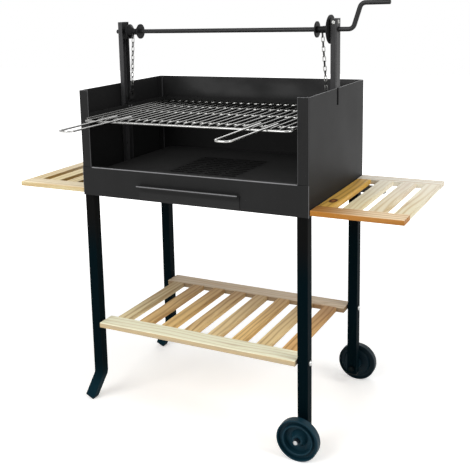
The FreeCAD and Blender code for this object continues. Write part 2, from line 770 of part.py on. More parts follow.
block_bore = rod(shaft_radius + shaft_play, (post_mouth - 20, shaft_y, shaft_z), (half, shaft_y, shaft_z))
block_out = inner - post_web - fit
for name, proud, holes in (("left", block_proud_left, left_holes), ("right", block_proud_right, screw_holes)):
    block = box(post_mouth + proud, block_out, post_front + post_web + fit, post_back - post_web - fit,
                block_bottom, block_top)
    edges = [e for e in block.Edges if e.BoundBox.ZLength > 1 and e.BoundBox.XMin > block_out - 0.01]
    block = cut(block.makeFillet(bend + 0.3, edges), [block_bore] + holes)
    nodes["bearing_" + name] = block if name == "right" else flip(block)
head = [(0, 2.6), (3.4, 2.6), (5.0, 1.0), (5.0, 0), (0, 0)]
front_head = turned([(r, -p) for r, p in head], front_screw[0], post_front, front_screw[1], "y")
side_head = turned(head, inner, side_screw[0], side_screw[1], "x")
nodes["block_screws"] = group([
    fuse([front_head, rod(3.0, (front_screw[0], post_front, front_screw[1]),
                          (front_screw[0], post_front + 10.5, front_screw[1]))]),
    fuse([side_head, rod(3.0, (inner - 10.5, side_screw[0], side_screw[1]),
                         (inner, side_screw[0], side_screw[1]))])])
rivets = []
for y in (post_front + 8, post_back - 8):
    rivet = spun([(0, 1.5), (2.6, 1.5), (4.2, 0.5), (4.2, 0), (2.5, 0), (2.5, -10.5), (0, -10.5)],
                 inner, y, side_screw[1], "x")
    rivets.append(flip(rivet))
nodes["block_rivets"] = group(rivets)

# crank: one rod across, arm and handle bent from it
tilt = math.radians(crank_lean)
handle_z = shaft_z + crank_throw
elbow = crank_bend_x + crank_throw * math.tan(tilt)
crank = bent([(shaft_left, shaft_y, shaft_z), (crank_bend_x, shaft_y, shaft_z), (elbow, shaft_y, handle_z),
              (crank_end, shaft_y, handle_z)], shaft_radius, crank_bend)
rims = []
for e in crank.Edges:
    box_e = e.BoundBox
    if box_e.XLength < 0.01 and (box_e.XMin > crank_end - 0.01 or box_e.XMax < shaft_left + 0.01):
        rims.append(e)
crank = crank.makeFillet(tip_round, rims)
pins = [rod(1.5, (x, shaft_y, shaft_z - r), (x, shaft_y, shaft_z + r))
        for x, r in ((reel_left, neck_radius), (reel_right - 9, hub_radius))]
nodes["crank_rod"] = cut(crank, pins)
nodes["reel_pins"] = group(pins)
clip = ring("x", 9.0, shaft_radius, -inner - 1.7, shaft_y, shaft_z, 1.2)
nodes["shaft_clip"] = clip

# reels: discs on a hub, with a pin that the first link hangs on
gap = reel_span / 2
rt = reel_thick / 2


def disc(x, radius):
    return ring("x", radius, shaft_radius, x - rt, shaft_y, shaft_z, reel_thick)


hub = turned([(shaft_radius, -gap + rt), (cone_radius, -gap + rt), (neck_radius, -neck_half),
              (neck_radius, neck_half), (cone_radius, gap - rt), (shaft_radius, gap - rt)],
             reel_left, shaft_y, shaft_z, "x")
peg = rod(chain_pin, (reel_left - gap + rt, chain_y, chain_z), (reel_left + gap - rt, chain_y, chain_z))
left_reel = fuse([disc(reel_left - gap, reel_radius), disc(reel_left + gap, reel_radius), hub, peg])
nodes["reel_left"] = cut(left_reel, [pins[0]])
cone = turned([(shaft_radius, -gap + rt), (hub_radius, -gap + rt), (hub_radius, -6),
               (hub_end_radius, gap - rt), (shaft_radius, gap - rt)], reel_right, shaft_y, shaft_z, "x")
peg = rod(chain_pin, (reel_right - gap + rt, chain_y, chain_z), (reel_right + gap - rt, chain_y, chain_z))
nodes["reel_right"] = cut(fuse([disc(reel_right - gap, reel_radius), cone, peg]), [pins[1]])
nodes["brake_disc"] = disc(reel_right + gap, brake_radius)

# chains, from the pin on each reel to the hole in each bracket
for name, x, end_x in (("left", reel_left, -lug_x), ("right", reel_right, lug_x)):
    start = V(x, chain_y, chain_z)
    stop = V(end_x, post_mid, lug_hole_z + lug_hole_radius - chain_wire / 2 - link_play)
    line = stop - start
    down = V(line.x, line.y, line.z).normalize()
    pitch = (line.Length - chain_wire / 2 + chain_pin + link_play) / chain_links
    wide_x = V(1, 0, 0) - down * down.x
    wide_x.normalize()
    wide_y = down.cross(wide_x)
    links = []
    for i in range(chain_links):
        centre = start + down * (pitch / 2 - chain_pin - link_play + i * pitch)
        across = wide_y if i % 2 == 0 else wide_x
        links.append(prism_ring(centre, down, across, pitch + chain_wire - 0.15,
                                chain_width - chain_wire, chain_wire))
    nodes["chain_" + name] = group(links)

# carrier: two arms and a back rail of angle steel
arm_low = carrier_top - angle
arm_top = arm_low + arm_height
arm_in = arm_outer - arm_leg
arm = fold([(arm_in, arm_low), (arm_outer, arm_low), (arm_outer, arm_top)], angle, 0.5, "y",
           arm_front, arm_back)
rail = fold([(arm_back - arm_leg, arm_low), (arm_back, arm_low), (arm_back, arm_top)], angle, 0.5, "x",
            -arm_outer + angle, arm_outer - angle)
lug_ys = (post_mid - lug_width / 2, post_mid + lug_width / 2)
lug_base = arm_outer - angle
rivet_spots = [(y, arm_low + arm_height * 0.68) for y in (post_mid - 6, post_mid + 6)]
arm_holes = []
for y, z in rivet_spots:
    arm_holes.append(drill(2.0, lug_base - 3, y, z, arm_outer - lug_base + shoe_reach + 4, "x"))
frame = fuse([arm, flip(arm), rail])
both = arm_holes + [flip(h) for h in arm_holes]
nodes["carrier_frame"] = cut(frame, both)
lug = fold([(lug_base, carrier_top + 3), (lug_base, arm_top + 6), (lug_x + angle / 2, arm_top + 15),
            (lug_x + angle / 2, lug_top)], angle, 2.0, "y", lug_ys[0], lug_ys[1])
lug_hole = rod(lug_hole_radius, (lug_x - 5, post_mid, lug_hole_z), (lug_x + 5, post_mid, lug_hole_z))
lug = cut(lug, arm_holes + [lug_hole])
nodes["chain_brackets"] = group([lug, flip(lug)])
shoe = box(arm_outer, arm_outer + shoe_reach, post_front + post_web + shoe_play,
           post_back - post_web - shoe_play, arm_low, arm_top)
shoe = cut(shoe, arm_holes)
nodes["guide_shoes"] = group([shoe, flip(shoe)])
rivets = []
for y, z in rivet_spots:
    rivet = spun([(0, -1.4), (2.2, -1.4), (3.6, -0.4), (3.6, 0), (2, 0), (2, 2 * angle + shoe_reach - 0.5),
                  (0, 2 * angle + shoe_reach - 0.5)], lug_base - angle, y, z, "x")
    rivets += [rivet, flip(rivet)]
nodes["carrier_rivets"] = group(rivets)

# cooking grill: frame, cross wires, bars and two handles
frame_z = carrier_top + rest_play + frame_radius
fx = frame_half
nodes["grill_frame"] = bent([(-fx, frame_front, frame_z), (fx, frame_front, frame_z),
                             (fx, frame_back, frame_z), (-fx, frame_back, frame_z)],
                            frame_radius, frame_corner, True)
cross_z = frame_z + frame_radius - cross_radius
reach = fx - frame_radius
nodes["cross_wires"] = group([rod(cross_radius, (-reach, y, cross_z), (reach, y, cross_z)) for y in cross_ys])
wire_z = frame_z + frame_radius + wire_radius
bars = []
for i in range(wire_count):
    x = -frame_half + i * wire_pitch
    trim = frame_corner if i in (0, wire_count - 1) else 0
    bars.append(rod(wire_radius, (x, frame_front + trim, wire_z), (x, frame_back - trim, wire_z)))
nodes["grill_bars"] = group(bars)
handle_z0 = frame_z + frame_radius + handle_radius
tail = cross_ys[0] + handle_tail
far, near = [frame_half - n * wire_pitch for n in handle_bars]
handles = []
for s in (-1, 1):
    handles.append(bent([(s * near, tail, handle_z0), (s * (near + handle_taper), handle_tip, handle_z0),
                         (s * (far - handle_taper), handle_tip, handle_z0), (s * far, tail, handle_z0)],
                        handle_radius, handle_corner))
nodes["grill_handles"] = group(handles)

total = Part.makeCompound(list(nodes.values())).BoundBox
for name, shape in nodes.items():
    shape = shape.copy()
    shape.translate(V(0, -middle_y, 0))
    if not shape.isValid():
        print("not valid:", name)
    shape.exportStep("parts/%s.step" % name)
print("nodes", len(nodes))
print("size", [round(v, 2) for v in (total.XMin, total.XMax, total.YMin, total.YMax, total.ZMin, total.ZMax)])
print("middle y", middle_y)
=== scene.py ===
import math

import bpy
from mathutils import Matrix, Vector


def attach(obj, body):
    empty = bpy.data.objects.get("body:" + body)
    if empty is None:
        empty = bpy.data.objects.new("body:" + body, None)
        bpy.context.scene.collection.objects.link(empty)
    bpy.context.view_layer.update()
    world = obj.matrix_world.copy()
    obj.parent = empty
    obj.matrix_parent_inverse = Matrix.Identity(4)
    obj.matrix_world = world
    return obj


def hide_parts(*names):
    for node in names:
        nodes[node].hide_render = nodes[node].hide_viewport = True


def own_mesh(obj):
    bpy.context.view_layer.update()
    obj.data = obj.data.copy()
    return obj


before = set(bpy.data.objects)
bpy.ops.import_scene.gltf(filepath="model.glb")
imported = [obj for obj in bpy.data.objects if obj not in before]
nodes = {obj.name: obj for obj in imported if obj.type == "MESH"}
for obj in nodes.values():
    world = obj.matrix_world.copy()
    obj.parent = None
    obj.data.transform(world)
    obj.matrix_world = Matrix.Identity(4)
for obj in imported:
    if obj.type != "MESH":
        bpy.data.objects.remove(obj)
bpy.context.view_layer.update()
scene = bpy.context.scene
shiftY = 119.775  # the row's middle, measured back from the firebox front
print("frame loaded:", len(nodes), "nodes")


def place(x, y, z):  # millimetres from the firebox front to the row's metres
    return Vector((x / 1000, (y - shiftY) / 1000, z / 1000))


# camera at the photograph's viewing angle
cameraSpec = {"focal": 807.8, "pixels": 470, "sensor": 36, "shiftX": 0.12, "shiftY": -0.17,
              "at": (896.1, -1621.0, 1037.2), "yaw": 0.515, "pitch": -0.187, "roll": -0.031,
              "reach": 60}


def makeCamera(spec):
    yaw, pitch, roll = spec["yaw"], spec["pitch"], spec["roll"]
    ahead = Vector((-math.sin(yaw) * math.cos(pitch), math.cos(yaw) * math.cos(pitch), math.sin(pitch)))
    side = Vector((math.cos(yaw), math.sin(yaw), 0))
    above = side.cross(ahead)
    right = side * math.cos(roll) + above * math.sin(roll)
    up = above * math.cos(roll) - side * math.sin(roll)
    data = bpy.data.cameras.new("view")
    data.sensor_width = spec["sensor"]
    data.lens = spec["focal"] / spec["pixels"] * spec["sensor"]
    data.shift_x = spec["shiftX"]
    data.shift_y = spec["shiftY"]
    data.clip_end = spec["reach"]
    camera = bpy.data.objects.new("view", data)
    turn = Matrix((right, up, -ahead)).transposed().to_4x4()
    camera.matrix_world = Matrix.Translation(place(*spec["at"])) @ turn
    scene.collection.objects.link(camera)
    scene.camera = camera


makeCamera(cameraSpec)
print("camera placed")


def linear(code):  # a hex colour as the shader reads it
    out = []
    for i in (1, 3, 5):
        c = int(code[i:i + 2], 16) / 255
        out.append(c / 12.92 if c <= 0.04045 else ((c + 0.055) / 1.055) ** 2.4)
    return (*out, 1.0)


class Value:  # a shader socket that takes Python arithmetic
    def __init__(self, finish, socket):
        self.finish = finish
        self.socket = socket

    def math(self, operation, *others):
        return self.finish.maths(operation, self, *others)

    def __add__(self, other):
        return self.math("ADD", other)

    def __radd__(self, other):
        return self.finish.maths("ADD", other, self)

    def __sub__(self, other):
        return self.math("SUBTRACT", other)

    def __rsub__(self, other):
        return self.finish.maths("SUBTRACT", other, self)

    def __mul__(self, other):
        return self.math("MULTIPLY", other)

    def __rmul__(self, other):
        return self.finish.maths("MULTIPLY", other, self)

    def __truediv__(self, other):
        return self.math("DIVIDE", other)

    def __abs__(self):
        return self.math("ABSOLUTE")

    def clip(self):
        return self.finish.node("ShaderNodeClamp", {}, [self])

    def above(self, limit):
        return self.math("GREATER_THAN", limit)

    def floor(self):
        return self.math("FLOOR")

    def sine(self):
        return self.math("SINE")

    def power(self, n):
        return self.math("POWER", n)


class Finish:  # one material, built node by node
    def __init__(self, name, **fixed):
        self.material = bpy.data.materials.new(name)
        self.material.use_nodes = True
        self.tree = self.material.node_tree
        self.shader = self.tree.nodes["Principled BSDF"]
        for key, value in fixed.items():
            self.shader.inputs[key.replace("_", " ")].default_value = value
        found = self.tree.nodes.new("ShaderNodeTexCoord")
        self.coords = Value(self, found.outputs["Object"])
        self.x, self.y, self.z = self.split(self.coords)

    def node(self, kind, settings, values=(), out=0):
        made = self.tree.nodes.new(kind)
        for key, value in settings.items():
            if key == "stops":
                ramp = made.color_ramp
                ramp.interpolation = "CONSTANT"
                while len(ramp.elements) < len(value):
                    ramp.elements.new(0.5)
                for element, (spot, colour) in zip(ramp.elements, value):
                    element.position = spot
                    element.color = colour
            else:
                setattr(made, key, value)
        pairs = values.items() if isinstance(values, dict) else enumerate(values)
        for key, value in pairs:
            self.feed(made.inputs[key], value)
        return Value(self, made.outputs[out])

    def feed(self, socket, value):
        if isinstance(value, Value):
            self.tree.links.new(value.socket, socket)
        else:
            socket.default_value = value

    def maths(self, operation, *values):
        return self.node("ShaderNodeMath", {"operation": operation}, values)

    def split(self, vector):
        made = self.tree.nodes.new("ShaderNodeSeparateXYZ")
        self.feed(made.inputs[0], vector)
        return [Value(self, s) for s in made.outputs]

    def join(self, x, y, z):
        return self.node("ShaderNodeCombineXYZ", {}, [x, y, z])

    def length(self, vector):
        return self.node("ShaderNodeVectorMath", {"operation": "LENGTH"}, [vector], "Value")

    def noise(self, vector, scale, detail=2.0, roughness=0.5):
        return self.node("ShaderNodeTexNoise", {}, {"Vector": vector, "Scale": scale, "Detail": detail,
                                                    "Roughness": roughness})

    def chance(self, number):  # one random value for each number
        return self.node("ShaderNodeTexWhiteNoise", {"noise_dimensions": "1D"}, {"W": number})

    def mix(self, share, a, b):  # the colour sockets of a Mix node are its sixth and seventh
        return self.node("ShaderNodeMix", {"data_type": "RGBA"}, {0: share, 6: a, 7: b}, 2)

    def step(self, value, low, high):  # 0 below low, 1 above high
        return self.node("ShaderNodeMapRange", {"interpolation_type": "SMOOTHSTEP"}, [value, low, high])

    def drop(self, value, low, high):  # 1 below low, 0 above high
        return 1 - self.step(value, low, high)

    def band(self, value, low, high, soft=0.0006):  # 1 between low and high
        return self.step(value, low - soft, low + soft) * self.drop(value, high - soft, high + soft)

    def pick(self, index, tones):  # one tone for each board
        if len(tones) == 1:
            return linear(tones[0])
        stops = [(i / len(tones), linear(tone)) for i, tone in enumerate(tones)]
        past = 0.03  # keeps a whole number clear of the stop it lies on
        return self.node("ShaderNodeValToRGB", {"stops": stops}, [index / len(tones) + past])

    def colour(self, value):
        self.feed(self.shader.inputs["Base Color"], value)

    def rough(self, value):
        self.feed(self.shader.inputs["Roughness"], value)

    def bump(self, height, depth):
        raised = self.node("ShaderNodeBump", {}, {"Strength": 1.0, "Distance": depth, "Height": height})
        self.feed(self.shader.inputs["Normal"], raised)


# sprayed heat-proof paint; cloud, grain, speck and wipe are in cells per metre, peel in metres
paintSpec = {"cloud": 5.0, "grain": 700.0, "speck": 160.0, "wipeAcross": 9, "wipeUp": 2.5,
             "cloudShare": 0.6, "wipeShare": 0.5, "grainShare": 0.25, "mottleStart": 0.32,
             "speckFrom": (0.69, 0.78), "speckTone": "#6a6a6a", "speckShare": 0.25,
             "highlightTone": "#8d8d8f", "peel": 0.00006}


def paint(name, tone, light, rough, spec, mottle=0.35, fade=None, paintedHighlight=None, darkening=None,
          darkTone="#101010", paintedLight=None, paintedLightTone="#4c4c4c"):
    # cloudy tone, fine orange peel and worn pale specks; painted highlights along edges, darker patches
    # and painted light where they are given
    p = paintSpec
    f = Finish(name, Specular_IOR_Level=spec)
    cloud = f.noise(f.coords, p["cloud"], 3.0)
    grain = f.noise(f.coords, p["grain"], 2.0)
    wiped = f.join(f.x * p["wipeAcross"], f.y * p["wipeAcross"], f.z * p["wipeUp"])
    wipe = f.noise(wiped, 2.0, 4.0, 0.6)
    mottled = cloud * p["cloudShare"] + wipe * p["wipeShare"] + grain * p["grainShare"]
    share = (mottled - p["mottleStart"]) * mottle
    body = f.mix(share.clip(), linear(tone), linear(light))
    if fade:
        low, high, colour = fade
        body = f.mix(f.step(f.z, low, high), body, linear(colour))
    # darker patches: painted shade in the firebox, under the drawer lip and on the right upright; also
    # darker round the charcoal plate's slots
    if darkening:
        body = f.mix((darkening(f) * (0.4 + cloud * 0.5)).clip(), body, linear(darkTone))
    # painted light
    if paintedLight:
        body = f.mix(paintedLight(f), body, linear(paintedLightTone))
    speck = f.step(f.noise(f.coords, p["speck"], 3.0, 0.7), *p["speckFrom"])
    body = f.mix(speck * p["speckShare"], body, linear(p["speckTone"]))
    gloss = rough + (cloud - 0.5) * 0.2 + (grain - 0.5) * 0.1
    # painted highlights along edges, a little smoother there
    if paintedHighlight:
        edge = (paintedHighlight(f) * (0.55 + cloud * 0.7)).clip()
        body = f.mix(edge, body, linear(p["highlightTone"]))
        gloss = gloss - edge * 0.1
    f.colour(body)
    f.rough(gloss)
    f.bump(grain, p["peel"])
    return f.material


# where the painted highlights, painted shade and painted light of the firebox start and end, in metres:
# each pair is a soft step
wallSpec = {
    "frontFace": (-0.1183, -0.1168), "lipDepth": (-0.1183, -0.1172), "lipHeight": (0.6360, 0.6390),
    "lipHalf": (0.272, 0.274), "flangeEdge": (0.2732, 0.2752), "flangeFoot": (0.637, 0.639),
    "outerSkin": (0.2988, 0.2996), "cornerDepth": (-0.1190, -0.1180), "rim": (0.8290, 0.8298),
    "seamDepth": (0.2720, 0.2740), "seam": (0.2925, 0.2952), "backSkin": (0.2790, 0.2798),
    "shadeDepth": (-0.1188, -0.1172), "litHeight": (0.760, 0.790), "backInside": (0.2720, 0.2780),
    "lightHeight": (0.765, 0.790), "lightLeft": (-0.27, -0.19),
    "shares": {"lip": 0.95, "flange": 0.2, "corner": 0.65, "rim": 0.6, "seam": 0.3},
}


def wallHighlights(f):  # painted highlights along the bends and cut edges of the firebox sheets
    w = wallSpec
    share = w["shares"]
    side = abs(f.x)
    lip = f.band(f.z, *w["lipHeight"]) * f.drop(f.y, *w["lipDepth"]) * f.drop(side, *w["lipHalf"])
    flange = f.band(side, *w["flangeEdge"], 0.0003) * f.drop(f.y, *w["frontFace"])
    flange = flange * f.step(f.z, *w["flangeFoot"])
    corner = f.step(side, *w["outerSkin"]) * f.drop(f.y, *w["cornerDepth"])
    inside = f.step(f.y, *w["seamDepth"]) * f.drop(f.y, *w["backSkin"])
    seam = f.band(side, *w["seam"], 0.0004) * inside
    worn = lip * share["lip"] + flange * share["flange"] + corner * share["corner"]
    return worn + f.step(f.z, *w["rim"]) * share["rim"] + seam * share["seam"]


def wallShade(f):  # painted shade inside the firebox: thick below the grill, lighter higher up, most on the back wall
    w = wallSpec
    behind = f.step(f.y, *w["shadeDepth"]) * f.drop(f.y, *w["backSkin"])
    high = f.step(f.z, *w["litHeight"]) * (f.step(f.y, *w["backInside"]) * 0.6 + 0.35)
    return behind * f.drop(abs(f.x), *w["outerSkin"]) * (1 - high)


def wallPaintedLight(f):  # painted light: paler patches on the back wall above the grill
    w = wallSpec
    inside = f.step(f.y, *w["backInside"]) * f.drop(f.y, *w["backSkin"])
    patch = f.step(f.noise(f.join(f.x * 3.0, 0.0, f.z * 7.0), 2.0, 2.0), 0.36, 0.66)
    return inside * f.step(f.z, *w["lightHeight"]) * f.step(f.x, *w["lightLeft"]) * (0.09 + patch * 0.45)


legSpec = {"footTop": (0.030, 0.115), "footShare": 0.55, "blackTop": (0.40, 0.52, "#0d0d0d")}


def footHaze(f):  # the bent feet, on the left, catch the light of the floor
    return f.drop(f.z, *legSpec["footTop"]) * (1 - f.x.above(0.0)) * legSpec["footShare"]


postSpec = {"outerSkin": (0.2968, 0.2980), "frontSkin": (0.0648, 0.0658), "highlightShare": 1.1,
            "darkening": 0.6, "outerShade": 0.5}


# painted highlight along the front outer corner of each upright
def postHighlights(f):
    corner = f.step(abs(f.x), *postSpec["outerSkin"]) * f.drop(f.y, *postSpec["frontSkin"])
    return corner * postSpec["highlightShare"]


def postShade(f):  # painted shade: the right upright is the darker one, more so on its outer face
    outer = f.step(abs(f.x), *postSpec["outerSkin"]) * postSpec["outerShade"]
    return f.x.above(0.0) * (outer + postSpec["darkening"])


plateSpec = {"slotsX": (-0.095, 0.095), "slotsY": (-0.052, 0.153), "soft": 0.012, "share": 1.5}


def plateSlotsDarker(f):  # darker round the slots of the charcoal plate
    c = plateSpec
    return f.band(f.x, *c["slotsX"], c["soft"]) * f.band(f.y, *c["slotsY"], c["soft"]) * c["share"]


drawerSpec = {"underLip": (0.5860, 0.6005), "face": (-0.1215, -0.1205), "lipTop": (0.6012, 0.6020),
              "lipFront": (-0.1335, -0.1325), "soft": 0.0012, "highlightShare": 0.8}


def drawerLipShadow(f):  # painted shadow under the pull lip
    return f.band(f.z, *drawerSpec["underLip"], drawerSpec["soft"]) * f.drop(f.y, *drawerSpec["face"])


# painted highlight along the top front edge of the pull lip
def drawerLipHighlight(f):
    edge = f.step(f.z, *drawerSpec["lipTop"]) * f.drop(f.y, *drawerSpec["lipFront"])
    return edge * drawerSpec["highlightShare"]


brightSpec = {"marks": 420.0, "patch": 26.0, "dullTone": "#57544d", "depth": 0.00002}


def bright(name, tone, rough, smear, dull, under=None, blacked=None):
    # plated steel with faint drawing marks, dull patches and painted shade below a given height
    f = Finish(name, Metallic=1.0)
    marks = f.noise(f.coords, brightSpec["marks"], 2.0)
    patch = f.noise(f.coords, brightSpec["patch"], 3.0, 0.6)
    spot = f.step(patch, 0.56, 0.7)
    body = f.mix(spot * dull, linear(tone), linear(brightSpec["dullTone"]))
    # painted shade below the given height
    if under:
        low, high, colour = under
        body = f.mix(f.step(f.z, low, high), linear(colour), body)
    if blacked:  # a darker tone between two depths, as on the painted heads of the axle bolts
        low, high, colour = blacked
        body = f.mix(f.band(f.y, low, high), body, linear(colour))
    f.colour(body)
    f.rough(rough + marks * smear + spot * dull * 0.3)
    f.bump(marks, brightSpec["depth"])
    return f.material


plasticSpec = {"cloud": 18.0, "grain": 1500.0, "depth": 0.00005}


def plastic(name, tone, light, rough, spec, shade=None):
    f = Finish(name, Specular_IOR_Level=spec)
    cloud = f.noise(f.coords, plasticSpec["cloud"], 3.0)
    grain = f.noise(f.coords, plasticSpec["grain"], 2.0)
    body = f.mix((cloud * 0.7 + grain * 0.3).clip(), linear(tone), linear(light))
    if shade:  # painted shade: darker towards the back
        low, high, colour = shade
        body = f.mix(f.step(f.y, low, high) * 0.7, body, linear(colour))
    f.colour(body)
    f.rough(rough + (grain - 0.5) * 0.2)
    f.bump(grain, plasticSpec["depth"])
    return f.material


# sanded softwood; rings are in radians per metre, knot sizes in cells of knotsAlong by knotsAcross,
# streaks and fibre in cells per metre, and the tops of the shelves in metres above the floor
woodSpec = {"ringsAcross": 435.204, "ringsDown": 240, "warp": 20, "knotRadius": 0.055, "knotCore": 0.6,
            "knotHalo": 3.2, "knotsAlong": 3.0, "knotsAcross": 5.5, "streaks": 130, "fibre": 900.0,
            "fibreAlong": 26, "heart": "#a87a42", "knot": "#5f3c1b", "bark": "#55280c",
            "branch": "#a86a2c", "shelfTop": 0.5824, "lowerTop": 0.2270, "grain": 0.00012}


def wood(name, tones, dark, along, board, seed, knots, streaks, top=None, backTone=None, spared=None,
         shadedEnd=None, branches=(), shine=0.2):
    # growth lines down each board, fibres and knots, every board of its own tone
    w = woodSpec
    f = Finish(name, Specular_IOR_Level=shine)
    u, v = (f.x, f.y) if along == "x" else (f.y, f.x)
    index = board(f)
    # two random values for each board shift its knots, rings and streaks
    luck = f.chance(index * 1.7 + seed)
    luck2 = f.chance(index * 2.9 + seed + 4.3)
    spot = f.join(u * w["knotsAlong"] + luck * 40, v * w["knotsAcross"] + luck2 * 20, 0.0)
    near = f.node("ShaderNodeTexVoronoi", {"feature": "F1"}, {"Vector": spot, "Scale": 1.0})
    knot = f.drop(near, w["knotRadius"] * w["knotCore"], w["knotRadius"])
    halo = f.drop(near, w["knotRadius"], w["knotRadius"] * w["knotHalo"])
    warp = f.noise(f.join(u * 2.2 + luck * 30, v * 12 + luck2 * 9, f.z * 12), 1.0, 2.0)
    rings = v * w["ringsAcross"] + warp * w["warp"] + halo * 5 + f.z * w["ringsDown"]
    lines = rings.sine() * 0.5 + 0.5
    streak = f.noise(f.join(u * 3.0 + luck * 12, v * w["streaks"], f.z * w["streaks"]), 1.0, 4.0, 0.6)
    fibre = f.noise(f.join(u * w["fibreAlong"], v * w["fibre"], f.z * w["fibre"]), 1.0, 2.0)
    late = (lines.power(3.0) * 0.75 + streak * streaks * 1.3 + fibre * 0.16 - 0.36).clip()
    tone = f.pick(index, tones)
    if top:  # painted light: the upper face paler than the sides
        level, paler = top
        tone = f.mix(f.step(f.z, level - 0.0016, level - 0.0004), tone, f.pick(index, paler))
    if shadedEnd:  # painted shade at one end of the board
        where, colour = shadedEnd
        tone = f.mix(where(f), tone, linear(colour))
    tone = f.mix(late * (0.45 + luck * 0.4), tone, f.pick(index, dark))
    heart = f.step(f.noise(f.join(u * 4.0 + luck2 * 30, v * 38, f.z * 20), 1.0, 3.0, 0.6), 0.56, 0.72)
    tone = f.mix(heart * (0.15 + luck2 * 0.4), tone, linear(w["heart"]))
    if backTone:  # another tone towards the back; on the lower shelf it is painted shade under the firebox
        low, high, colour, share = backTone
        share = f.step(f.y, low, high) * share
        tone = f.mix(share * spared(f) if spared else share, tone, linear(colour))
    for x, y, size in branches:  # knots at known spots
        away = f.length(f.join((f.x - x) / size, (f.y - y) / (size * 2.0), 0.0))
        tone = f.mix(f.drop(away, 0.75, 1.1), tone, linear(w["bark"]))
        tone = f.mix(f.drop(away, 0.25, 0.55) * 0.8, tone, linear(w["branch"]))
    tone = f.mix(halo * 0.3 * knots, tone, linear(w["heart"]))
    f.colour(f.mix(knot * knots, tone, linear(w["knot"])))
    f.rough(0.55 + late * 0.16)
    f.bump(fibre * 0.6 + late * 0.4, w["grain"])
    return f.material


# where boards, the painted shade by the firebox and the inner board begin and end, in metres
boardSpec = {"shelfGaps": (0.3473, 0.4040, 0.4607), "lowerStart": 0.264, "lowerPitch": 0.066,
             "rearRail": 0.08, "boxShade": (0.315, 0.455), "innerBoard": (0.300, 0.340)}


def shelfSlatOf(f):  # 0 to 3 outwards on the left, 4 to 7 on the right
    first, second, third = boardSpec["shelfGaps"]
    side = abs(f.x)
    return side.above(first) + side.above(second) + side.above(third) + f.x.above(0.0) * 4


def lowerSlatOf(f):  # 0 to 7 from the left
    return ((f.x + boardSpec["lowerStart"]) / boardSpec["lowerPitch"]).floor()


def lowerRailOf(f):  # front, rear
    return f.y.above(boardSpec["rearRail"])


def shelfRailOf(f):  # left front, left rear, right front, right rear
    return lowerRailOf(f) + f.x.above(0.0) * 2


def boxShade(f):  # painted shade: the right front rail darkens towards the firebox
    return f.drop(f.x, *boardSpec["boxShade"]) * f.x.above(0.0) * (1 - lowerRailOf(f)) * 0.92


def innerBoard(f):  # the inner board of the right shelf, darkened with painted shade in its tones, keeps its own tone to the back
    return 1 - f.band(f.x, *boardSpec["innerBoard"])


